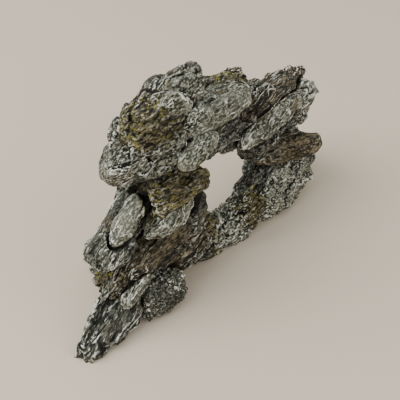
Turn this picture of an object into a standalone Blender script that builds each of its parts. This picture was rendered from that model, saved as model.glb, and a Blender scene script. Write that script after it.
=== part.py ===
"""Rock arch cave ornament for an aquarium: resin stones cast one by one and glued into an arch.

The arch stands in the X-Z plane. Its front faces -Y, the toe of the tall pier points to -X and the low
foot runs out to +X. Each stone is a chiselled convex block. Where two stones meet, both are ground back to
one flat bond plane with a thin line of glue between them.
"""

import math

import bmesh
import bpy
import numpy as np
from mathutils import Matrix, Vector, noise

# Overall size of the finished arch, metres, and the size in millimetres that its layout is drawn at
ARCH_LENGTH = 0.304
ARCH_DEPTH = 0.100
ARCH_HEIGHT = 0.196
DRAWN_SIZE = Vector((304.0, 100.0, 196.0))

GLUE_GAP = 0.0003       # line of glue between two ground faces
BLOCKINESS = 3.0        # 2 is an egg, 4 is nearly a brick
CHIP_DEPTH = 0.08       # how far a chisel cut goes into a stone, as a share of its half size
CHIPS = 6               # chisel cuts on each stone
UNEVENNESS = 0.09       # height of the bumps left on a stone, as a share of its half size
SPHERE_LEVEL = 2        # subdivision of the sphere each stone starts from
FLAT_BASE = 0.0         # height of the ground face

STONES = []


def stone(name, look, at, size, pitch=0.0, yaw=0.0, roll=0.0):
    """Adds a stone: centre and full size in layout millimetres, turned by pitch, yaw and roll degrees."""
    scale = Vector((ARCH_LENGTH / DRAWN_SIZE.x, ARCH_DEPTH / DRAWN_SIZE.y, ARCH_HEIGHT / DRAWN_SIZE.z))
    turn = (Matrix.Rotation(math.radians(yaw), 3, "Z") @ Matrix.Rotation(math.radians(-pitch), 3, "Y")
            @ Matrix.Rotation(math.radians(roll), 3, "X"))
    stretch = Matrix.Diagonal(scale) @ turn @ Matrix.Diagonal(Vector(size) / 2)
    STONES.append({"name": name, "look": look, "form": stretch, "back": stretch.inverted(),
                   "centre": Vector(a * b for a, b in zip(at, scale)), "seed": len(STONES) + 1})


# The toe: thin ribs that climb out of the ground on to the ramp
stone("toe_tip", "grey", at=(-118, 9, 3), size=(25, 13, 13), pitch=18, yaw=6)
stone("rib_left", "grey", at=(-101, 17, 15), size=(58, 12, 19), pitch=27, yaw=14)
stone("rib_middle", "grey", at=(-95, 8, 13), size=(60, 12, 18), pitch=24, yaw=8)
stone("rib_right", "grey", at=(-84, 3, 14), size=(52, 12, 17), pitch=20, yaw=3)
stone("rib_pale", "pale", at=(-73, 2, 36), size=(34, 11, 12), pitch=24)
stone("ramp_block", "moss", at=(-63, 20, 32), size=(50, 36, 42), pitch=16)
stone("gravel_clump", "rubble", at=(-50, -1, 17), size=(48, 26, 39), pitch=4, yaw=-8)

# The body of the pier, from the ground to the waist
stone("pier_core", "dark", at=(-38, 30, 36), size=(82, 48, 84), pitch=8)
stone("pier_back", "grey", at=(-18, 43, 62), size=(56, 26, 92), pitch=14)
stone("pier_heel", "rubble", at=(-22, 60, 17), size=(78, 42, 46), pitch=4)
stone("ledge_stone", "rust", at=(-14, 8, 34), size=(56, 26, 30), pitch=6)
stone("mid_slab", "rust", at=(-36, 12, 52), size=(78, 30, 24), pitch=10)
stone("shelf_boulder", "grey", at=(-74, 26, 66), size=(44, 28, 24), pitch=2)
stone("side_leaf_outer", "grey", at=(-46, 40, 81), size=(60, 14, 15), pitch=32)
stone("side_leaf_inner", "dark", at=(-50, 32, 88), size=(54, 15, 15), pitch=32)
stone("shell_plate", "pale", at=(-57, 20, 91), size=(56, 19, 16), pitch=38)
stone("pale_flake", "pale", at=(-29, 6, 80), size=(58, 22, 19), pitch=4)
stone("dark_knob", "dark", at=(-3, 9, 69), size=(22, 22, 33), pitch=0)
stone("moss_ledge", "moss", at=(-22, 16, 97), size=(72, 36, 29), pitch=-2, yaw=-10)
stone("ledge_knob", "moss", at=(4, 9, 92), size=(19, 17, 17))
stone("neck_block", "dark", at=(-29, 30, 110), size=(44, 34, 40), pitch=10)

# The head of the pier, from the neck to the crown
stone("snout_boulder", "grey", at=(-63, 20, 146), size=(38, 26, 29), pitch=2)
stone("snout_ear", "grey", at=(-46, 32, 158), size=(20, 12, 12), pitch=39)
stone("chin_block", "grey", at=(-36, 12, 146), size=(50, 28, 26), pitch=0, yaw=-8)
stone("lip_slab", "grey", at=(-42, 6, 135), size=(34, 14, 8), pitch=-4, yaw=-14)
stone("head_back", "dark", at=(-22, 35, 140), size=(52, 29, 56), pitch=6)
stone("moss_shoulder", "moss", at=(-37, 17, 169), size=(40, 31, 33), pitch=6)
stone("crown_boulder", "grey", at=(-9, 18, 176), size=(60, 30, 33), pitch=2)
stone("crown_cap", "dark", at=(-2, 30, 172), size=(52, 17, 21), pitch=2)
stone("leaf_flake", "pale", at=(-11, -8, 140), size=(40, 13, 17), pitch=8)

# The lintel, running down from the crown to the far end
stone("upper_slab", "grey", at=(38, 16, 142), size=(78, 26, 24), pitch=-6)
stone("upper_lobe", "grey", at=(0, 6, 154), size=(32, 24, 24), pitch=-10)
stone("back_log", "moss", at=(62, 33, 142), size=(52, 17, 17), pitch=-8, yaw=-16)
stone("wedge_slab", "grey", at=(88, 24, 125), size=(34, 12, 12), pitch=7)
stone("lintel_back", "dark", at=(56, 32, 118), size=(142, 26, 34), pitch=-16)
stone("long_block", "rust", at=(102, 18, 108), size=(118, 33, 31), pitch=0)
stone("pale_rim", "pale", at=(96, 1, 106), size=(92, 14, 16), pitch=4)
stone("rim_knob", "pale", at=(140, 8, 105), size=(26, 22, 22), pitch=30)
stone("soffit_slab", "dark", at=(50, 16, 111), size=(76, 26, 22), pitch=-7)

# The right foot, from the lintel end to the ground
stone("right_clump", "rubble", at=(148, 24, 80), size=(44, 31, 32), pitch=-10)
stone("ochre_log", "rust", at=(117, 1, 62), size=(62, 19, 20), pitch=-2, yaw=-24)
stone("dark_log_end", "dark", at=(89, 12, 77), size=(36, 23, 23), pitch=-10)
stone("foot_neck", "dark", at=(119, 24, 84), size=(68, 30, 40), pitch=-4)
stone("foot_core", "dark", at=(126, 22, 32), size=(72, 31, 68), pitch=8)
stone("foot_heel", "rubble", at=(147, 41, 18), size=(54, 30, 46), pitch=-4)
stone("rubble_block", "rubble", at=(116, 8, 22), size=(88, 32, 48), pitch=2)
stone("inner_slab", "dark", at=(88, 15, 38), size=(58, 15, 22), pitch=26)
stone("moss_saddle", "rust", at=(74, 8, 21), size=(34, 24, 28))
stone("rubble_toe", "rubble", at=(52, 13, 12), size=(60, 27, 29))
stone("sill_stone", "moss", at=(18, 17, 17), size=(44, 22, 36), pitch=2)

# Base colour and roughness of each painted resin finish
LOOKS = {
    "grey": ((0.105, 0.110, 0.100, 1.0), 0.62),
    "dark": ((0.040, 0.043, 0.038, 1.0), 0.66),
    "pale": ((0.235, 0.240, 0.215, 1.0), 0.58),
    "moss": ((0.110, 0.100, 0.040, 1.0), 0.70),
    "rust": ((0.120, 0.090, 0.060, 1.0), 0.66),
    "rubble": ((0.085, 0.095, 0.090, 1.0), 0.60),
}


def block_depth(local):
    """Depth in the ideal block: 0 at its centre, 1 on its surface. BLOCKINESS leaves its corners in place."""
    corner = 3.0 ** (1.0 / 3.0 - 1.0 / BLOCKINESS)
    return corner * (np.abs(local) ** BLOCKINESS).sum(-1) ** (1.0 / BLOCKINESS)


def depth_in(block, points):
    """Depth of points in a stone's ideal block, where it stands in the arch."""
    return block_depth((points - np.array(block["centre"])) @ np.array(block["back"]).T)


def block_box(block):
    """The axis-aligned box round a stone's ideal block."""
    reach = Vector(sum(abs(v) ** 2 for v in row) ** 0.5 for row in block["form"]) * 1.25
    return np.array(block["centre"] - reach), np.array(block["centre"] + reach)


def bond_plane(first, second):
    """Fits a plane to the points that lie equally deep in two overlapping blocks.

    Returns a point on the plane and its unit normal, which points from the first block to the second,
    or None where the blocks stay apart.
    """
    low = np.maximum(block_box(first)[0], block_box(second)[0])
    high = np.minimum(block_box(first)[1], block_box(second)[1])
    if (low >= high).any():
        return None
    axes = [np.linspace(low[i], high[i], 22) for i in range(3)]
    points = np.stack(np.meshgrid(*axes, indexing="ij"), -1).reshape(-1, 3)
    a, b = depth_in(first, points), depth_in(second, points)
    shared = (a < 1.06) & (b < 1.06)
    if shared.sum() < 6:
        return None
    points, step = points[shared], (a - b)[shared]
    middle = points.mean(0)
    slope, *_ = np.linalg.lstsq(np.c_[points - middle, np.ones(len(points))], step, rcond=None)
    steepness = np.linalg.norm(slope[:3])
    normal = slope[:3] / steepness
    return Vector(middle - normal * slope[3] / steepness), Vector(normal)


def cut(mesh, point, normal):
    """Saws a closed convex mesh along a plane and keeps the side that the normal points away from."""
    geometry = mesh.verts[:] + mesh.edges[:] + mesh.faces[:]
    bmesh.ops.bisect_plane(mesh, geom=geometry, dist=1e-7, plane_co=point, plane_no=normal, clear_outer=True)
    rim = [edge for edge in mesh.edges if edge.is_boundary]
    if rim:
        bmesh.ops.contextual_create(mesh, geom=rim)


def chiselled(block):
    """The rough stone before it is fitted: an uneven block with chips struck off, as a convex mesh."""
    mesh = bmesh.new()
    bmesh.ops.create_icosphere(mesh, subdivisions=SPHERE_LEVEL, radius=1.0)
    offset = Vector((3.7, 1.9, 5.3)) * block["seed"]
    for vert in mesh.verts:
        bump = UNEVENNESS * (noise.noise(vert.co * 1.6 + offset) + 0.2)
        vert.co *= (1.0 + bump) / float(block_depth(np.array(vert.co)))
    for k in range(CHIPS):
        turn = 2.4 * (k + block["seed"])
        height = math.sin(1.7 * k + 0.9 * block["seed"]) * 0.9
        level = (1 - height**2) ** 0.5
        side = Vector((math.cos(turn) * level, math.sin(turn) * level, height))
        support = max(vert.co.dot(side) for vert in mesh.verts)
        cut(mesh, side * support * (1.0 - CHIP_DEPTH), side)
    corners = [block["form"] @ vert.co + block["centre"] for vert in mesh.verts]
    mesh.clear()
    for corner in corners:
        mesh.verts.new(corner)
    bmesh.ops.convex_hull(mesh, input=mesh.verts[:])
    bmesh.ops.delete(mesh, geom=[vert for vert in mesh.verts if not vert.link_faces], context="VERTS")
    return mesh


def painted(look):
    """The painted resin finish of that name, made the first time it is asked for."""
    colour, roughness = LOOKS[look]
    material = bpy.data.materials.new(look + "_resin")
    material.use_nodes = True
    shader = material.node_tree.nodes["Principled BSDF"]
    shader.inputs["Base Color"].default_value = colour
    shader.inputs["Roughness"].default_value = roughness
    shader.inputs["Metallic"].default_value = 0.0
    material.diffuse_color = colour
    return material


for old in list(bpy.data.objects):
    bpy.data.objects.remove(old, do_unlink=True)

collection = bpy.data.collections.new("rock_arch_ornament")
bpy.context.scene.collection.children.link(collection)
materials = {look: painted(look) for look in LOOKS}
meshes = [chiselled(block) for block in STONES]

# Grind each pair of stones that meet back to the bond plane between them
for i, first in enumerate(STONES):
    for j in range(i + 1, len(STONES)):
        bond = bond_plane(first, STONES[j])
        if bond is None:
            continue
        point, normal = bond
        cut(meshes[i], point - normal * GLUE_GAP / 2, normal)
        cut(meshes[j], point + normal * GLUE_GAP / 2, -normal)

# Grind the undersides flat, then stand the arch over the origin
low, high = Vector((1e3, 1e3, 1e3)), Vector((-1e3, -1e3, -1e3))
for mesh in meshes:
    cut(mesh, Vector((0, 0, FLAT_BASE)), Vector((0, 0, -1)))
    for vert in mesh.verts:
        low = Vector(map(min, low, vert.co))
        high = Vector(map(max, high, vert.co))
middle = Vector(((low.x + high.x) / 2, (low.y + high.y) / 2, low.z))

for block, mesh in zip(STONES, meshes):
    bmesh.ops.translate(mesh, verts=mesh.verts[:], vec=-middle)
    bmesh.ops.dissolve_limit(mesh, angle_limit=math.radians(2), verts=mesh.verts[:], edges=mesh.edges[:])
    bmesh.ops.triangulate(mesh, faces=mesh.faces[:])
    bmesh.ops.recalc_face_normals(mesh, faces=mesh.faces[:])
    data = bpy.data.meshes.new(block["name"])
    mesh.to_mesh(data)
    mesh.free()
    data.materials.append(materials[block["look"]])
    collection.objects.link(bpy.data.objects.new(block["name"], data))
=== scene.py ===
import math

import bpy
import numpy as np
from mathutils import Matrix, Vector


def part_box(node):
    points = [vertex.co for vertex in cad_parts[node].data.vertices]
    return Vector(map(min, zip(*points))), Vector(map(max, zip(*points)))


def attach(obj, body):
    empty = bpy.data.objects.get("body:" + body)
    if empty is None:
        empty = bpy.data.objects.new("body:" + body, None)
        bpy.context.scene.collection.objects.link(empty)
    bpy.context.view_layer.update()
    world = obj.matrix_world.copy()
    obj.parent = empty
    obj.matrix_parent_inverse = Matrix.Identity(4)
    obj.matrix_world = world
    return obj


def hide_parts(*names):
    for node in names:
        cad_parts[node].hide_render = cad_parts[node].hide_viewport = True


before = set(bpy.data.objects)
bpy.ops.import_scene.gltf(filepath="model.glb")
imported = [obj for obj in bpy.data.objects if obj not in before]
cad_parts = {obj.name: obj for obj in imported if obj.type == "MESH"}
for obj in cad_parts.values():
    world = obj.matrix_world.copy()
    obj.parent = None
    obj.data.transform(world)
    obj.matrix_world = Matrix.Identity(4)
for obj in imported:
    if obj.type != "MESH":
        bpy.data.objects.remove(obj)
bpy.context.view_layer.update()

# ---------------------------------------------------------------------------------------------------------
# The heart of the pier
# Big stones of dark stone-filled resin carry everything else. They are cast solid, ground flat underneath
# and bonded face to face; only their backs and the heel are seen, from behind.
# ---------------------------------------------------------------------------------------------------------
MM = 0.001


def facets(node):
    """A CAD stone's flat faces, in metres: its middle, its box, and each face's centre, outward normal and
    distance from the middle. Slivers are left out."""
    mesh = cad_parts[node].data
    count = len(mesh.polygons)
    normals, centres, areas = np.empty(count * 3), np.empty(count * 3), np.empty(count)
    mesh.polygons.foreach_get("normal", normals)
    mesh.polygons.foreach_get("center", centres)
    mesh.polygons.foreach_get("area", areas)
    normals, centres = normals.reshape(-1, 3), centres.reshape(-1, 3)
    keep = areas > 0.2 * MM**2
    middle = (centres * areas[:, None]).sum(0) / areas.sum()
    low, high = (np.array(corner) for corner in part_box(node))
    return {"middle": middle, "normals": normals[keep], "centres": centres[keep], "low": low, "high": high,
            "reach": ((centres[keep] - middle) * normals[keep]).sum(1)}


def outside(points, rock):
    """How far points are outside the nearest face of a CAD stone, in metres; less than 0 is inside."""
    return ((points - rock["middle"]) @ rock["normals"].T - rock["reach"]).max(1)


def neighbours(node, margin):
    """The names of the other CAD stones whose boxes come within that margin of this one's."""
    own = ROCKS[node]
    return [name for name, rock in ROCKS.items() if name != node
            and (rock["low"] - margin < own["high"]).all() and (rock["high"] + margin > own["low"]).all()]


# The faces that are ground to a neighbour are moved out, so that stones grow into each other at a joint
ROCKS = {node: facets(node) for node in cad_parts}
JOINT_OVERLAP = 3.0 * MM
for node, rock in ROCKS.items():
    tips = rock["centres"] + rock["normals"] * 0.8 * MM
    bonded = np.zeros(len(tips), bool)
    for other in neighbours(node, MM):
        bonded |= outside(tips, ROCKS[other]) < 0
    rock["full"] = rock["reach"] + JOINT_OVERLAP * bonded


LATTICE = np.random.default_rng(5).random((64**3, 4), np.float32)


def scatter(cells, seed, count):
    """count numbers from 0 to 1 for each whole-number cell, from a table that repeats every 64 cells."""
    c = (cells.astype(np.int64) + np.array((7, 13, 29)) * seed) & 63
    return LATTICE[(c[..., 0] * 64 + c[..., 1]) * 64 + c[..., 2], :count]


def swirl(p, size, octaves, seed):
    """Smooth noise from about -1 to 1: random values at the corners of boxes of that size, blended by
    3t^2 - 2t^3 along each axis, plus the same at half the size and half the height, and so on."""
    total, height, whole = np.zeros(len(p), np.float32), 1.0, 0.0
    for k in range(octaves):
        q = p * (2.0**k) / np.asarray(size) + 17.3 * k
        cell = np.floor(q)
        t = (q - cell).astype(np.float32)
        t = t * t * (3 - 2 * t)
        value = 0.0
        for corner in np.ndindex(2, 2, 2):
            share = np.prod(np.where(corner, t, 1 - t), axis=1)
            value = value + share * scatter(cell + corner, seed + k, 1)[..., 0]
        total += height * (2 * value - 1)
        whole += height
        height *= 0.5
    return total / whole * 1.6


def splinters(p, size, seed):
    """Splits space into cells round scattered points. Returns the cell each p is in and the next nearest
    one, with the offsets from their points, and both distances, in cell sizes."""
    q = (p / np.asarray(size)).astype(np.float32)
    base = np.floor(q)
    near = [np.full(len(q), 9.0, np.float32), np.zeros_like(q), np.zeros_like(q)]
    far = [values.copy() for values in near]
    for step in np.ndindex(3, 3, 3):
        cell = base + (np.array(step, np.float32) - 1)
        away = q - (cell + 0.08 + 0.84 * scatter(cell, seed, 3))
        distance = (away * away).sum(1)
        nearer = distance < near[0]
        nearish = ~nearer & (distance < far[0])
        for slot, fresh in enumerate((distance, cell, away)):
            far[slot][nearer] = near[slot][nearer]
            far[slot][nearish] = fresh[nearish]
            near[slot][nearer] = fresh[nearer]
    return near[1:], far[1:], np.sqrt(near[0]), np.sqrt(far[0])


def fractured(bed, length, thick, height, levels=3, seed=7):
    """Broken rock, in millimetres: flat tilted facets on cells stretched along the bedding, blended over a
    quarter of a cell where two meet, with the same again at 0.5 of the size and height, and so on."""
    relief = np.zeros(len(bed))
    for k in range(levels):
        share = 0.5**k
        size = (length * share, thick * 1.15 * share, thick * share)
        own, other, first, second = splinters(bed, size, seed + 11 * k)
        heights = []
        for cell, away in (own, other):
            chance = scatter(cell, seed + 51, 4) * 2 - 1
            heights.append(chance[:, 0] + 1.8 * (chance[:, 1:] * away).sum(1))
        t = np.clip((second - first) / 0.22, 0, 1)
        blend = 0.5 - 0.5 * t * t * (3 - 2 * t)
        relief += height * share * (heights[0] * (1 - blend) + heights[1] * blend)
    return relief


def crags(bed, length, thick, height, levels=3, seed=60):
    """Sharp ridges, in millimetres: h ((1 - |noise|)^2 - 0.5) on noise stretched along the bedding, with
    the same at half the size and 0.6 of the height where the last is high, and so on."""
    relief, gain = np.zeros(len(bed)), 1.0
    for k in range(levels):
        share = 0.5**k
        noise = swirl(bed, (length * share, thick * share, thick * share), 1, seed + k)
        ridge = (1 - np.minimum(np.abs(noise), 1)) ** 2
        relief += height * 0.6**k * gain * (ridge - 0.5)
        gain = np.clip(ridge * 1.8, 0.15, 1)
    return relief


def box_skin(counts):
    """The skin of a box as six grids of two parameters with their shared edges merged: points from -1 to 1
    on each axis, and four-cornered faces that look outwards."""
    quads, points, start = [], [], 0
    for axis in range(3):
        a, b = (axis + 1) % 3, (axis + 2) % 3
        i, j = np.meshgrid(np.arange(counts[a] + 1), np.arange(counts[b] + 1), indexing="ij")
        index = np.arange(i.size).reshape(i.shape)
        patch = np.stack([index[:-1, :-1], index[1:, :-1], index[1:, 1:], index[:-1, 1:]], -1)
        patch = patch.reshape(-1, 4)
        for side in (0, counts[axis]):
            grid = np.empty((i.size, 3), int)
            grid[:, axis], grid[:, a], grid[:, b] = side, i.ravel(), j.ravel()
            points.append(grid)
            quads.append((patch if side else patch[:, ::-1]) + start)
            start += i.size
    points, quads = np.concatenate(points), np.concatenate(quads)
    code = (points[:, 0] * 4096 + points[:, 1]) * 4096 + points[:, 2]
    _, kept, merged = np.unique(code, return_index=True, return_inverse=True)
    return points[kept] / np.array(counts) * 2.0 - 1.0, merged.ravel()[quads]


def spread(values, edges, passes):
    """Averages a value over the surface: each pass takes the mean of every point and its neighbours."""
    a, b = edges
    count = 1.0 + np.bincount(a, minlength=len(values)) + np.bincount(b, minlength=len(values))
    for _ in range(passes):
        total = values + np.bincount(a, values[b], len(values)) + np.bincount(b, values[a], len(values))
        values = total / count
    return values


# Stones that stand proud of their neighbours, and those whose moss or rust spreads over their joints
PROUD = {"leaf_flake", "pale_flake", "shell_plate", "upper_lobe", "rim_knob", "pale_rim", "lip_slab",
         "ledge_knob", "rib_pale", "ochre_log", "gravel_clump"}
MOSSY = {"ramp_block", "moss_ledge", "ledge_knob", "moss_shoulder", "back_log", "sill_stone", "moss_saddle"}
RUSTY = {"ledge_stone", "mid_slab", "long_block", "ochre_log", "moss_saddle"}


def cast(node, relief, step=0.8, lean=0.0, turn=0.0, swell=1.2, rough=0.25, shape=None):
    """The surface of one cast stone, which stands for the CAD node.

    The smooth form is the p-norm of the CAD stone's face planes, r = (sum of (n.u / d)^50)^(-1/50) along
    each direction u from its middle. It swells by a fillet near ordinary neighbours and sinks by a groove
    next to proud ones. Along the normal it then gets the relief, a function of the bedding coordinates and
    the place in millimetres, and fine roughness. lean and turn are the bedding's climb and turn in degrees.
    The mesh keeps where its edges, heights, moss and rust are, and the painted shade at its joints and near
    the floor, for the paint.
    """
    rock = ROCKS[node]
    size = (rock["high"] - rock["low"]) / MM
    pitch = step * 1.0
    skin, quads = box_skin([max(6, int(round(s / pitch))) for s in size])
    ray = skin * size / 2
    ray /= np.linalg.norm(ray, axis=1)[:, None]
    slope = np.maximum(ray @ rock["normals"].T, 0) / rock["full"]
    power = 50
    weight = (slope / slope.max(1)[:, None]) ** power
    reach = 1.0 / (slope.max(1) * weight.sum(1) ** (1 / power))
    arris = 1 - np.linalg.norm(weight @ rock["normals"], axis=1) / weight.sum(1)
    normal = (weight / np.maximum(slope, 1e-9)) @ (rock["normals"] / rock["full"][:, None])
    normal /= np.linalg.norm(normal, axis=1)[:, None]
    place = (rock["middle"] + ray * reach[:, None]) / MM
    if shape is not None:
        place = shape(place, rock["low"] / MM, rock["high"] / MM)

    climb, bend = math.radians(lean), math.radians(turn)
    along = place[:, 0] * math.cos(bend) + place[:, 1] * math.sin(bend)
    across = place[:, 1] * math.cos(bend) - place[:, 0] * math.sin(bend)
    bed = np.stack([along * math.cos(climb) + place[:, 2] * math.sin(climb), across,
                    place[:, 2] * math.cos(climb) - along * math.sin(climb)], -1)
    bed = bed + np.stack([swirl(bed, 18.0, 3, 90 + 7 * k) for k in range(3)], -1) * (3.0, 1.6, 1.6)

    proud = node in PROUD
    # Painted shade where a stone meets its neighbours, strongest in the grooves round proud stones and
    # fading over a few millimetres
    seam_shade, fillet, groove, rim = (np.zeros(len(place)) for _ in range(4))
    spreads = {"moss": np.full(len(place), float(node in MOSSY)),
               "rust": np.full(len(place), float(node in RUSTY))}
    for name in neighbours(node, 12 * MM):
        off = np.maximum(outside(place * MM, ROCKS[name]), 0) / MM
        if proud:
            seam_shade = np.maximum(seam_shade, np.exp(-off / 1.2))
            rim = np.maximum(rim, np.exp(-(((off - 2.4) / 0.9) ** 2)))
        elif name in PROUD:
            groove = np.maximum(groove, np.exp(-((off / 2.8) ** 2)))
            seam_shade = np.maximum(seam_shade, 1.15 * np.exp(-((off / 3.2) ** 2)))
        else:
            fillet = np.maximum(fillet, np.exp(-((off / 3.6) ** 2)))
            seam_shade = np.maximum(seam_shade, 0.9 * np.exp(-off / 1.6))
        for key, group in (("moss", MOSSY), ("rust", RUSTY)):
            if name in group:
                spreads[key] = np.maximum(spreads[key], np.exp(-off / 4.5))
    smooth = swell + 1.4 * swirl(place, 20.0, 2, 3) + 2.2 * fillet * (1 - groove) - 1.6 * groove
    broken = smooth + relief(bed, place)
    total = broken + rough * swirl(bed * (0.6, 1, 1), 1.6, 2, 5)

    sides = np.sort(np.concatenate([quads[:, [k, (k + 1) % 4]] for k in range(4)]), axis=1)
    sides = np.unique(sides[:, 0].astype(np.int64) * len(place) + sides[:, 1])
    edges = (sides // len(place), sides % len(place))
    worn = np.clip(0.6 + swirl(place, 7.0, 2, 8), 0, 1.1)
    arris = (0.9 if proud else 0.4) * np.clip(arris / 0.12, 0, 1) * worn
    fine = broken - spread(broken, edges, 2)
    broad = total - spread(total, edges, 45)
    place = place + normal * total[:, None]
    # Painted shade near the floor, fading over 3 mm up from the sand; it joins the painted shade at the
    # joints
    floor_shade = np.exp(-np.maximum(place[:, 2], 0) / 3.0)
    place[:, 2] = np.maximum(place[:, 2], 0.0)

    mesh = bpy.data.meshes.new(node + "_stone")
    mesh.vertices.add(len(place))
    mesh.vertices.foreach_set("co", (place * MM).astype(np.float32).ravel())
    mesh.loops.add(quads.size)
    mesh.loops.foreach_set("vertex_index", quads.astype(np.int32).ravel())
    mesh.polygons.add(len(quads))
    mesh.polygons.foreach_set("loop_start", np.arange(0, quads.size, 4, dtype=np.int32))
    mesh.polygons.foreach_set("use_smooth", np.ones(len(quads), bool))
    mesh.update(calc_edges=True)
    # The seam mark is painted shade, at the joints between stones and near the floor
    marks = {"edge": fine / fine.std() + 0.8 * rim + arris, "height": broad / broad.std(),
             "seam_shade": np.maximum(seam_shade, 0.8 * floor_shade), **spreads}
    for name, values in marks.items():
        mesh.attributes.new(name, "FLOAT", "POINT").data.foreach_set("value", values.astype(np.float32))
    piece = bpy.data.objects.new(node + "_stone", mesh)
    bpy.context.scene.collection.objects.link(piece)
    return piece


class Graph:
    """Draws a material's nodes: each call adds one node and returns its output."""

    def __init__(self, name):
        self.material = bpy.data.materials.new(name)
        self.material.use_nodes = True
        self.tree = self.material.node_tree
        self.shader = self.tree.nodes["Principled BSDF"]
        self.place = self.add("ShaderNodeTexCoord").outputs["Object"]

    def add(self, kind, **settings):
        node = self.tree.nodes.new(kind)
        for key, value in settings.items():
            setattr(node, key, value)
        return node

    def put(self, socket, value):
        if isinstance(value, bpy.types.NodeSocket):
            self.tree.links.new(value, socket)
        else:
            socket.default_value = (*value, 1.0) if isinstance(value, tuple) and len(value) == 3 else value

    def maths(self, operation, first, second=0.0, clamp=False):
        node = self.add("ShaderNodeMath", operation=operation, use_clamp=clamp)
        self.put(node.inputs[0], first)
        self.put(node.inputs[1], second)
        return node.outputs[0]

    def plus(self, first, share, second):
        """first + share times second."""
        return self.maths("ADD", first, self.maths("MULTIPLY", second, share))

    def noise(self, scale, detail=4.0, rough=0.6, streak=1.0, lean=0.0, turn=0.0, twist=0.0):
        """Noise that is stretched streak times along the bedding."""
        mapping = self.add("ShaderNodeMapping", vector_type="TEXTURE")
        self.put(mapping.inputs["Vector"], self.place)
        mapping.inputs["Rotation"].default_value = (0.0, math.radians(-lean), math.radians(turn))
        mapping.inputs["Scale"].default_value = (streak, 1.0, 1.0)
        node = self.add("ShaderNodeTexNoise")
        self.put(node.inputs["Vector"], mapping.outputs[0])
        settings = {"Scale": scale, "Detail": detail, "Roughness": rough, "Distortion": twist}
        for key, value in settings.items():
            node.inputs[key].default_value = value
        return node.outputs["Fac"]

    def ramp(self, value, low, high, top=1.0):
        """0 up to low, top from high on, and an even slope between them."""
        node = self.add("ShaderNodeMapRange")
        for key, number in (("Value", value), ("From Min", low), ("From Max", high), ("To Max", top)):
            self.put(node.inputs[key], number)
        return node.outputs[0]

    def mix(self, share, first, second):
        node = self.add("ShaderNodeMix", data_type="RGBA")
        self.put(node.inputs["Factor"], share)
        self.put(node.inputs[6], first)
        self.put(node.inputs[7], second)
        return node.outputs[2]

    def attribute(self, name):
        return self.add("ShaderNodeAttribute", attribute_name=name).outputs["Fac"]


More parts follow.
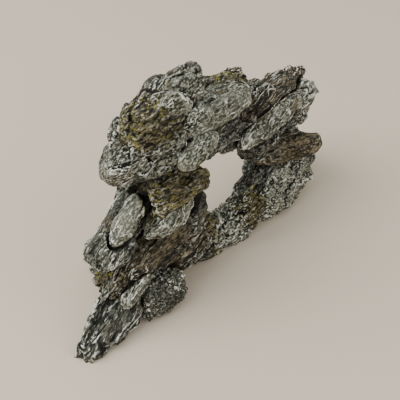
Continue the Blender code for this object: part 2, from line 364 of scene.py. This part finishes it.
def paint(name, tone=1.0, brushed=1.0, wash_and_shade=1.0, streak=4.0, lean=0.0, turn=0.0, brown=0.25, grain=1.0,
          speckled=0.8, warm=1.0):
    """Painted resin. A streaked stone grey times tone, brown stains, moss and rust sponged on where the
    mesh says so, black wash specks in pits, black in creases and hollows that is partly wash and partly
    painted shade, black painted shade along the seams and near the floor, and near-white dry-brushed over
    the sharp edges. brown, brushed and speckled, and the argument for the wash and painted shade, say how
    much of each there is, warm how light the moss and rust are, and grain how fine the pattern is. Colours
    are linear red, green and blue."""
    g = Graph(name)
    edge, height, seam_shade = g.attribute("edge"), g.attribute("height"), g.attribute("seam_shade")
    bands = g.noise(50.0, 6.0, 0.72, streak, lean, turn, 0.4)
    mottle = g.noise(190.0 * grain, 3.0, 0.7, 1 + 0.45 * streak, lean, turn, 0.5)
    fret = g.noise(600.0 * grain, 1.0, 0.6, 1 + 0.25 * streak, lean, turn, 0.5)
    grit = g.maths("SUBTRACT", fret, 0.5)
    blot = g.maths("SUBTRACT", mottle, 0.5)

    greys = np.array(((0.020, 0.0215, 0.0145), (0.105, 0.108, 0.081), (0.25, 0.256, 0.205))) * tone
    greys = [tuple(grey) for grey in greys.tolist()]
    colour = g.mix(g.ramp(bands, 0.42, 0.56), greys[0], greys[1])
    fleck = g.maths("SUBTRACT", g.maths("MULTIPLY", blot, 0.65 * speckled), g.maths("MULTIPLY", grit, 1.2))
    colour = g.mix(g.ramp(fleck, -0.03, 0.13), colour, greys[2])
    stain = g.maths("ADD", g.noise(34.0, 5.0, 0.7, twist=0.6), blot)
    start = 0.68 - 0.3 * brown
    colour = g.mix(g.ramp(stain, start, start + 0.10, 0.75), colour, (0.075, 0.060, 0.030))

    rust = g.plus(g.attribute("rust"), 2.0, g.maths("SUBTRACT", stain, 0.5))
    light_umber = (0.150 * warm, 0.116 * warm, 0.066 * warm)
    umber = g.mix(g.ramp(g.plus(blot, -0.6, grit), -0.06, 0.14), (0.024, 0.018, 0.008), light_umber)
    colour = g.mix(g.ramp(rust, 0.45, 0.85, 0.85), colour, umber)
    moss = g.plus(g.attribute("moss"), 2.2, g.maths("SUBTRACT", stain, 0.5))
    light_olive = (0.155 * warm, 0.132 * warm, 0.070 * warm)
    olive = g.mix(g.ramp(g.plus(blot, -0.6, grit), -0.06, 0.15), (0.028, 0.023, 0.008), light_olive)
    colour = g.mix(g.ramp(moss, 0.45, 0.85, 0.88), colour, olive)
    specks = g.ramp(g.noise(360.0, 1.5, 0.6), 0.55, 0.62)
    specks = g.maths("MULTIPLY", specks, g.ramp(g.noise(60.0, 3.0, 0.6), 0.44, 0.56))
    colour = g.mix(g.maths("MULTIPLY", specks, g.ramp(moss, 0.35, 0.8, 0.9)), colour, (0.25, 0.225, 0.03))

    black = (0.0035, 0.0036, 0.0026)
    pits = g.plus(g.plus(grit, -0.35, blot), -0.035, height)
    colour = g.mix(g.ramp(pits, 0.05, 0.10, 0.97 * wash_and_shade * speckled), colour, black)
    # Black in the fine concave creases beside the crests: partly wash and partly painted shade
    colour = g.mix(g.ramp(g.maths("MULTIPLY", edge, -1.0), 0.6, 1.7, 0.88 * wash_and_shade), colour, black)
    # Black in the broad hollows of the relief, partly wash and partly painted shade
    hollow_wash_and_shade = g.plus(g.maths("MULTIPLY", height, -1.0), -1.5, blot)
    hollow_wash_and_shade = g.plus(hollow_wash_and_shade, -3.5, g.maths("SUBTRACT", bands, 0.5))
    colour = g.mix(g.ramp(hollow_wash_and_shade, 0.4, 1.9, 0.9 * wash_and_shade), colour, black)
    # Black painted shade along the joints between stones and where they meet the floor; the same mark keeps
    # dry brush off them
    colour = g.mix(g.ramp(g.plus(seam_shade, -0.8, blot), 0.35, 0.9, 0.94), colour, black)

    scribble = g.noise(120.0 * grain, 2.0, 0.6, 1 + 0.35 * streak, lean, turn, 1.0)
    scribble = g.maths("SUBTRACT", scribble, 0.5)
    raised = g.ramp(g.plus(height, -8.0, grit), 0.4, 1.6)
    crack = g.ramp(g.maths("ABSOLUTE", g.maths("ADD", scribble, 0.075)), 0.045, 0.02)
    crack = g.maths("MULTIPLY", crack, raised)
    colour = g.mix(g.maths("MULTIPLY", crack, 0.9 * wash_and_shade), colour, black)
    line = g.maths("MULTIPLY", g.ramp(g.maths("ABSOLUTE", scribble), 0.026, 0.010), raised)
    dry = g.ramp(g.plus(edge, -8.0 * speckled, grit), 0.8, 1.6)
    dry = g.maths("ADD", dry, line, clamp=True)
    dry = g.maths("MULTIPLY", dry, g.ramp(g.noise(44.0, 4.0, 0.7), 0.43, 0.58))
    dry = g.maths("MULTIPLY", dry, g.ramp(seam_shade, 0.75, 0.3, brushed))
    colour = g.mix(dry, colour, (0.80, 0.81, 0.72))
    g.put(g.shader.inputs["Base Color"], colour)
    g.put(g.shader.inputs["Roughness"], g.plus(0.38, 0.45, g.noise(190.0, 3.0)))
    g.shader.inputs["Specular IOR Level"].default_value = 0.18
    bump = g.add("ShaderNodeBump")
    bump.inputs["Strength"].default_value = 1.0
    bump.inputs["Distance"].default_value = 0.0011
    g.put(bump.inputs["Height"], g.maths("SUBTRACT", g.maths("MULTIPLY", mottle, 1.2), fret))
    g.put(g.shader.inputs["Normal"], bump.outputs[0])
    return g.material


def bond(piece, node, finish):
    """Glues a stone into the arch: it stands for its CAD node, rides on the one body and gets its finish."""
    piece.data.materials.append(finish)
    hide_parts(node)
    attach(piece, "root")


dark_stone = paint("dark_stone", tone=0.55, brushed=0.5, lean=15, brown=0.4)


def heart(bed, place):
    return fractured(bed, 34, 10, 1.9) + crags(bed, 14, 6, 0.8)


for node in ("pier_core", "pier_back", "head_back", "crown_cap"):
    bond(cast(node, heart, step=1.0, lean=18), node, dark_stone)

# ---------------------------------------------------------------------------------------------------------
# The rubble heels
# Two low stones behind the feet, knobbly castings of dark resin that widen the stance and are bonded to the
# cores. The whole back of the ornament is painted as carefully as the front.
# ---------------------------------------------------------------------------------------------------------


def granules(place, grain, height, seed=34):
    """Rounded granules pressed together, in millimetres: the upper half of a ball on each scattered point,
    sqrt(1 - d^2), with its own height, and the same again at half the size."""
    relief = np.zeros(len(place))
    for k in range(2):
        own, _, centre, _ = splinters(place, (grain * 0.5**k,) * 3, seed + 11 * k)
        dome = np.sqrt(np.maximum(1 - (centre / 0.92) ** 2, 0))
        relief += height * 0.5**k * (dome - 0.8 + 0.5 * scatter(own[0], 7, 1)[:, 0])
    return relief


def rubble_relief(bed, place):
    return fractured(bed, 15, 11, 2.0, 2) + crags(bed, 9, 7, 1.8, 2) + granules(bed, 6.0, 0.8)


rubble_stone = paint("rubble_stone", tone=1.6, streak=1.2, brown=0.0, brushed=1.1)
for node in ("pier_heel", "foot_heel"):
    bond(cast(node, rubble_relief, step=1.0), node, rubble_stone)

# ---------------------------------------------------------------------------------------------------------
# The toe
# Thin ribs of grey resin that climb out of the sand on to the ramp. Each is a separate long casting with a
# keel along its back, laid side by side and bonded, and their keels are dry-brushed nearly white.
# ---------------------------------------------------------------------------------------------------------


def rib_relief(bed, place):
    return crags(bed, 60, 5.5, 3.2) + fractured(bed, 30, 6, 0.7, 2)


toe_grey = paint("toe_grey", tone=0.55, streak=8.0, lean=25, turn=9, brown=0.0, speckled=0.4, brushed=1.2)
for node in ("toe_tip", "rib_left", "rib_middle", "rib_right"):
    bond(cast(node, rib_relief, step=0.6, lean=25, turn=9), node, toe_grey)
pale_stone = paint("pale_stone", tone=1.35, streak=4.0, lean=20, wash_and_shade=0.55, brown=0.05, speckled=0.4,
                   brushed=1.4)
bond(cast("rib_pale", rib_relief, step=0.6, lean=24), "rib_pale", pale_stone)

# ---------------------------------------------------------------------------------------------------------
# The ramp and the gravel clump
# The ramp is a mossy block under the pier's near face. The clump in front of it is a ball of fine gravel
# cast in resin, each grain tipped with white paint.
# ---------------------------------------------------------------------------------------------------------


def mossy_relief(bed, place):
    return fractured(bed, 28, 11, 2.0) + crags(bed, 18, 5, 0.9, 2)


moss_stone = paint("moss_stone", tone=0.95, brushed=0.6, lean=8, speckled=0.7)
bond(cast("ramp_block", rib_relief, step=0.65, lean=30), "ramp_block", moss_stone)


def gravel_relief(bed, place):
    """A blunt cone on each scattered grain, in millimetres: 2.6 (0.55 - d) plus the grain's own height."""
    own, _, centre, _ = splinters(place, (3.1, 3.1, 3.1), 34)
    return 2.6 * (0.55 - centre) + 1.4 * scatter(own[0], 7, 1)[:, 0] - 0.7


gravel_stone = paint("gravel_stone", tone=0.65, streak=1.0, brown=0.05, brushed=1.5, grain=1.3,
                     speckled=0.35)
bond(cast("gravel_clump", gravel_relief, step=0.55, swell=0.0), "gravel_clump", gravel_stone)

# ---------------------------------------------------------------------------------------------------------
# The ledge stone and the middle slab
# Two long streaky slabs, rust brown with ochre in their hollows, bonded to the front of the core one above
# the other. They are cast from split slate, so their grain runs from end to end.
# ---------------------------------------------------------------------------------------------------------


def slate_relief(bed, place):
    return crags(bed, 44, 6, 2.5) + fractured(bed, 36, 8, 1.5, 2)


rust_slate = paint("rust_slate", tone=0.8, streak=8.0, lean=12, brushed=0.6, speckled=0.6, warm=1.1)
for node in ("ledge_stone", "mid_slab"):
    bond(cast(node, slate_relief, step=0.65, lean=15), node, rust_slate)

# ---------------------------------------------------------------------------------------------------------
# The shelf boulder and the side leaves
# A blunt grey boulder juts from the pier's end, and thin leaves of slate lean against the core above it.
# ---------------------------------------------------------------------------------------------------------


def boulder_relief(bed, place):
    return fractured(bed, 36, 17, 2.8, 2) + fractured(bed, 12, 6, 0.4, 2, 31) + crags(bed, 22, 5, 0.6, 2)


grey_stone = paint("grey_stone", tone=1.2, streak=4.0, lean=8, speckled=0.75)
shelf_grey = paint("shelf_grey", tone=0.75, streak=5.0, lean=25, brown=0.0, speckled=0.6, brushed=0.8)
bond(cast("shelf_boulder", slate_relief, step=0.65, lean=24), "shelf_boulder", shelf_grey)
bond(cast("side_leaf_outer", rib_relief, lean=32), "side_leaf_outer", toe_grey)
bond(cast("side_leaf_inner", rib_relief, lean=32), "side_leaf_inner", dark_stone)

# ---------------------------------------------------------------------------------------------------------
# The shell plate and the pale flake
# Two smooth pale slabs near the waist of the pier. They stand proud of their neighbours, and their lower
# edges are brushed white.
# ---------------------------------------------------------------------------------------------------------


def slab_relief(bed, place):
    return fractured(bed, 34, 16, 1.2, 2) + crags(bed, 24, 4, 0.4, 2)


def pointed(climb, foot, tip):
    """A shape for a stone whose long axis climbs at that angle in X and Z: it closes in on the axis by
    1 - share t^2, where t goes from 0 in the middle to 1 at an end and share is foot or tip at that end."""
    axis = np.array((math.cos(math.radians(climb)), 0.0, math.sin(math.radians(climb))))

    def shape(place, low, high):
        middle = (low + high) / 2
        along = (place - middle) @ axis
        share = np.where(along < 0, foot * (along / along.min()) ** 2, tip * (along / along.max()) ** 2)
        core = middle + along[:, None] * axis
        return core + (place - core) * (1 - share)[:, None]

    return shape


plate = cast("shell_plate", slab_relief, step=0.6, lean=39, swell=0.8, shape=pointed(39, 0.45, 0.5))
bond(plate, "shell_plate", pale_stone)
flake = cast("pale_flake", slab_relief, step=0.6, lean=3, swell=0.8, shape=pointed(3, 0.5, 0.35))
bond(flake, "pale_flake", pale_stone)

# ---------------------------------------------------------------------------------------------------------
# The moss ledge and its knobs
# A thick brown slab grown over with moss spans the waist, with a round knob at its far end that hangs over
# the window and a dark knob below it.
# ---------------------------------------------------------------------------------------------------------
ledge_moss = paint("ledge_moss", brushed=0.6, lean=-2, turn=-8, wash_and_shade=0.8, speckled=0.7, warm=1.5)
bond(cast("moss_ledge", mossy_relief, step=0.65, lean=-2, turn=-8), "moss_ledge", ledge_moss)
bond(cast("ledge_knob", mossy_relief, step=0.6, swell=1.0), "ledge_knob", ledge_moss)
bond(cast("dark_knob", boulder_relief, step=0.7, lean=60), "dark_knob", dark_stone)

# ---------------------------------------------------------------------------------------------------------
# The neck
# A dark layered block, set back under the head so that the head overhangs it on every side.
# ---------------------------------------------------------------------------------------------------------
bond(cast("neck_block", slate_relief, lean=8, swell=0.4), "neck_block", dark_stone)

# ---------------------------------------------------------------------------------------------------------
# The head: snout, ear, chin and lip
# Weathered grey boulders with a thin slab of the same grey bonded under them as a lip.
# ---------------------------------------------------------------------------------------------------------
bond(cast("snout_boulder", slab_relief, step=0.6, lean=5, swell=2.0), "snout_boulder", grey_stone)
bond(cast("snout_ear", boulder_relief, step=0.7, lean=39), "snout_ear", grey_stone)
bond(cast("chin_block", boulder_relief, step=0.6, turn=-8, swell=2.8), "chin_block", grey_stone)
bond(cast("lip_slab", slab_relief, step=0.6, turn=-14), "lip_slab", grey_stone)

# ---------------------------------------------------------------------------------------------------------
# The shoulder and the crown
# The mossy shoulder is the greenest stone of all, and the crown is the highest, a broad grey boulder split
# along its bedding.
# ---------------------------------------------------------------------------------------------------------
bond(cast("moss_shoulder", mossy_relief, step=0.6, lean=6, swell=1.8), "moss_shoulder", moss_stone)
bond(cast("crown_boulder", boulder_relief, step=0.6), "crown_boulder", grey_stone)

# ---------------------------------------------------------------------------------------------------------
# The leaf flake
# A smooth leaf of pale slate, broad at its foot and pointed at its tip, bonded flat against the head where
# the lintel starts.
# ---------------------------------------------------------------------------------------------------------


def leaf_relief(bed, place):
    return fractured(bed, 30, 16, 0.4, 2) + crags(bed, 12, 4, 0.3, 2)


leaf_stone = paint("leaf_stone", tone=1.45, brushed=1.4, wash_and_shade=0.3, streak=2.0, lean=6, brown=0.0,
                   speckled=0.25)
leaf = cast("leaf_flake", leaf_relief, step=0.55, lean=6, shape=pointed(6, -0.1, 0.6))
bond(leaf, "leaf_flake", leaf_stone)

# ---------------------------------------------------------------------------------------------------------
# The lintel
# It runs down from the crown to the far end: a grey slab with a round lobe, a moss-brown log behind, a dark
# soffit, and a long streaky block with a pale rim and a knob along its front edge.
# ---------------------------------------------------------------------------------------------------------
lintel_grey = paint("lintel_grey", tone=1.3, streak=6.0, lean=-2, wash_and_shade=0.8, speckled=0.6)
bond(cast("upper_slab", slab_relief, step=0.6, lean=-4, swell=1.0), "upper_slab", lintel_grey)
bond(cast("upper_lobe", leaf_relief, step=0.6, swell=1.0), "upper_lobe", leaf_stone)
bond(cast("back_log", mossy_relief, step=0.7, lean=-8, turn=-16), "back_log", moss_stone)
bond(cast("wedge_slab", slab_relief, step=0.7, lean=11), "wedge_slab", shelf_grey)
bond(cast("lintel_back", heart, step=1.0, lean=-16), "lintel_back", dark_stone)
# The soffit's dark paint is painted shade under the lintel
bond(cast("soffit_slab", slate_relief, step=0.7, lean=-6, swell=0.4), "soffit_slab", dark_stone)
bond(cast("long_block", slate_relief, step=0.65, lean=11), "long_block", rust_slate)
bond(cast("pale_rim", slab_relief, step=0.6, lean=4), "pale_rim", pale_stone)
bond(cast("rim_knob", boulder_relief, step=0.6, lean=30), "rim_knob", pale_stone)

# ---------------------------------------------------------------------------------------------------------
# The right foot
# A ridge of rubble that climbs from the sand to the lintel's end: a hidden core and neck, a dark inner slab
# on the window's side, an ochre log on top, and lumps of gravelly resin outside.
# ---------------------------------------------------------------------------------------------------------
bond(cast("foot_core", heart, step=0.9, swell=-1.0), "foot_core", dark_stone)
bond(cast("foot_neck", heart, swell=-1.0), "foot_neck", dark_stone)
bond(cast("right_clump", rubble_relief, step=0.7), "right_clump", rubble_stone)
ochre = paint("ochre", tone=0.9, streak=4.0, lean=-2, turn=-24, brushed=0.5, wash_and_shade=0.7, speckled=0.5,
              warm=1.4)
bond(cast("ochre_log", slab_relief, step=0.6, lean=-2, turn=-24), "ochre_log", ochre)
bond(cast("dark_log_end", boulder_relief, step=0.65, lean=-10), "dark_log_end", dark_stone)
bond(cast("rubble_block", rubble_relief, step=0.65), "rubble_block", rubble_stone)
# The inner slab's dark paint is painted shade on the window's side of the foot
bond(cast("inner_slab", slate_relief, step=0.7, lean=24), "inner_slab", dark_stone)
bond(cast("moss_saddle", mossy_relief, step=0.7), "moss_saddle", moss_stone)

# ---------------------------------------------------------------------------------------------------------
# The sill
# Two low stones that join the feet across the bottom of the window, half sunk in the sand.
# ---------------------------------------------------------------------------------------------------------
bond(cast("rubble_toe", rubble_relief, step=0.65), "rubble_toe", rubble_stone)
bond(cast("sill_stone", mossy_relief, step=0.7), "sill_stone", moss_stone)

# ---------------------------------------------------------------------------------------------------------
# The studio
# A plain sand-coloured floor, a soft sky, a broad lamp behind the ornament's left shoulder and a weak one
# in front. The camera looks down on the ornament from its near left.
# ---------------------------------------------------------------------------------------------------------
floor_mesh = bpy.data.meshes.new("floor")
floor_mesh.from_pydata([(-3, -3, 0), (3, -3, 0), (3, 3, 0), (-3, 3, 0)], [], [(0, 1, 2, 3)])
floor = bpy.data.objects.new("floor", floor_mesh)
bpy.context.scene.collection.objects.link(floor)
sand = bpy.data.materials.new("sand")
sand.use_nodes = True
sand.node_tree.nodes["Principled BSDF"].inputs["Base Color"].default_value = (0.64, 0.555, 0.440, 1)
sand.node_tree.nodes["Principled BSDF"].inputs["Roughness"].default_value = 0.95
floor_mesh.materials.append(sand)

sky = bpy.data.worlds.new("sky")
bpy.context.scene.world = sky
sky.use_nodes = True
sky.node_tree.nodes["Background"].inputs["Color"].default_value = (1.0, 0.985, 0.95, 1)
sky.node_tree.nodes["Background"].inputs["Strength"].default_value = 0.78


def outwards(azimuth, elevation):
    """The unit vector from the ornament to a viewer; azimuth 0 is straight in front, 90 to the right."""
    a, e = math.radians(azimuth), math.radians(elevation)
    return Vector((math.sin(a) * math.cos(e), -math.cos(a) * math.cos(e), math.sin(e)))


# Name, azimuth and elevation in degrees, distance and width in metres, watts
lamps = (("key", -120, 52, 1.6, 1.7, 27), ("fill", 10, 35, 1.8, 1.2, 6))
for name, azimuth, elevation, distance, width, watts in lamps:
    light = bpy.data.lights.new(name, "AREA")
    light.shape, light.size, light.energy = "DISK", width, watts
    lamp = bpy.data.objects.new(name, light)
    lamp.location = outwards(azimuth, elevation) * distance
    lamp.rotation_euler = outwards(azimuth, elevation).to_track_quat("Z", "Y").to_euler()
    bpy.context.scene.collection.objects.link(lamp)

lens = bpy.data.cameras.new("camera")
lens.lens, lens.sensor_width = 100, 36
camera = bpy.data.objects.new("camera", lens)
bpy.context.scene.collection.objects.link(camera)
camera.location = Vector((-0.0219, -0.0330, 0.080)) + outwards(-50, 40) * 0.872
camera.rotation_euler = outwards(-50, 40).to_track_quat("Z", "Y").to_euler()
bpy.context.scene.camera = camera
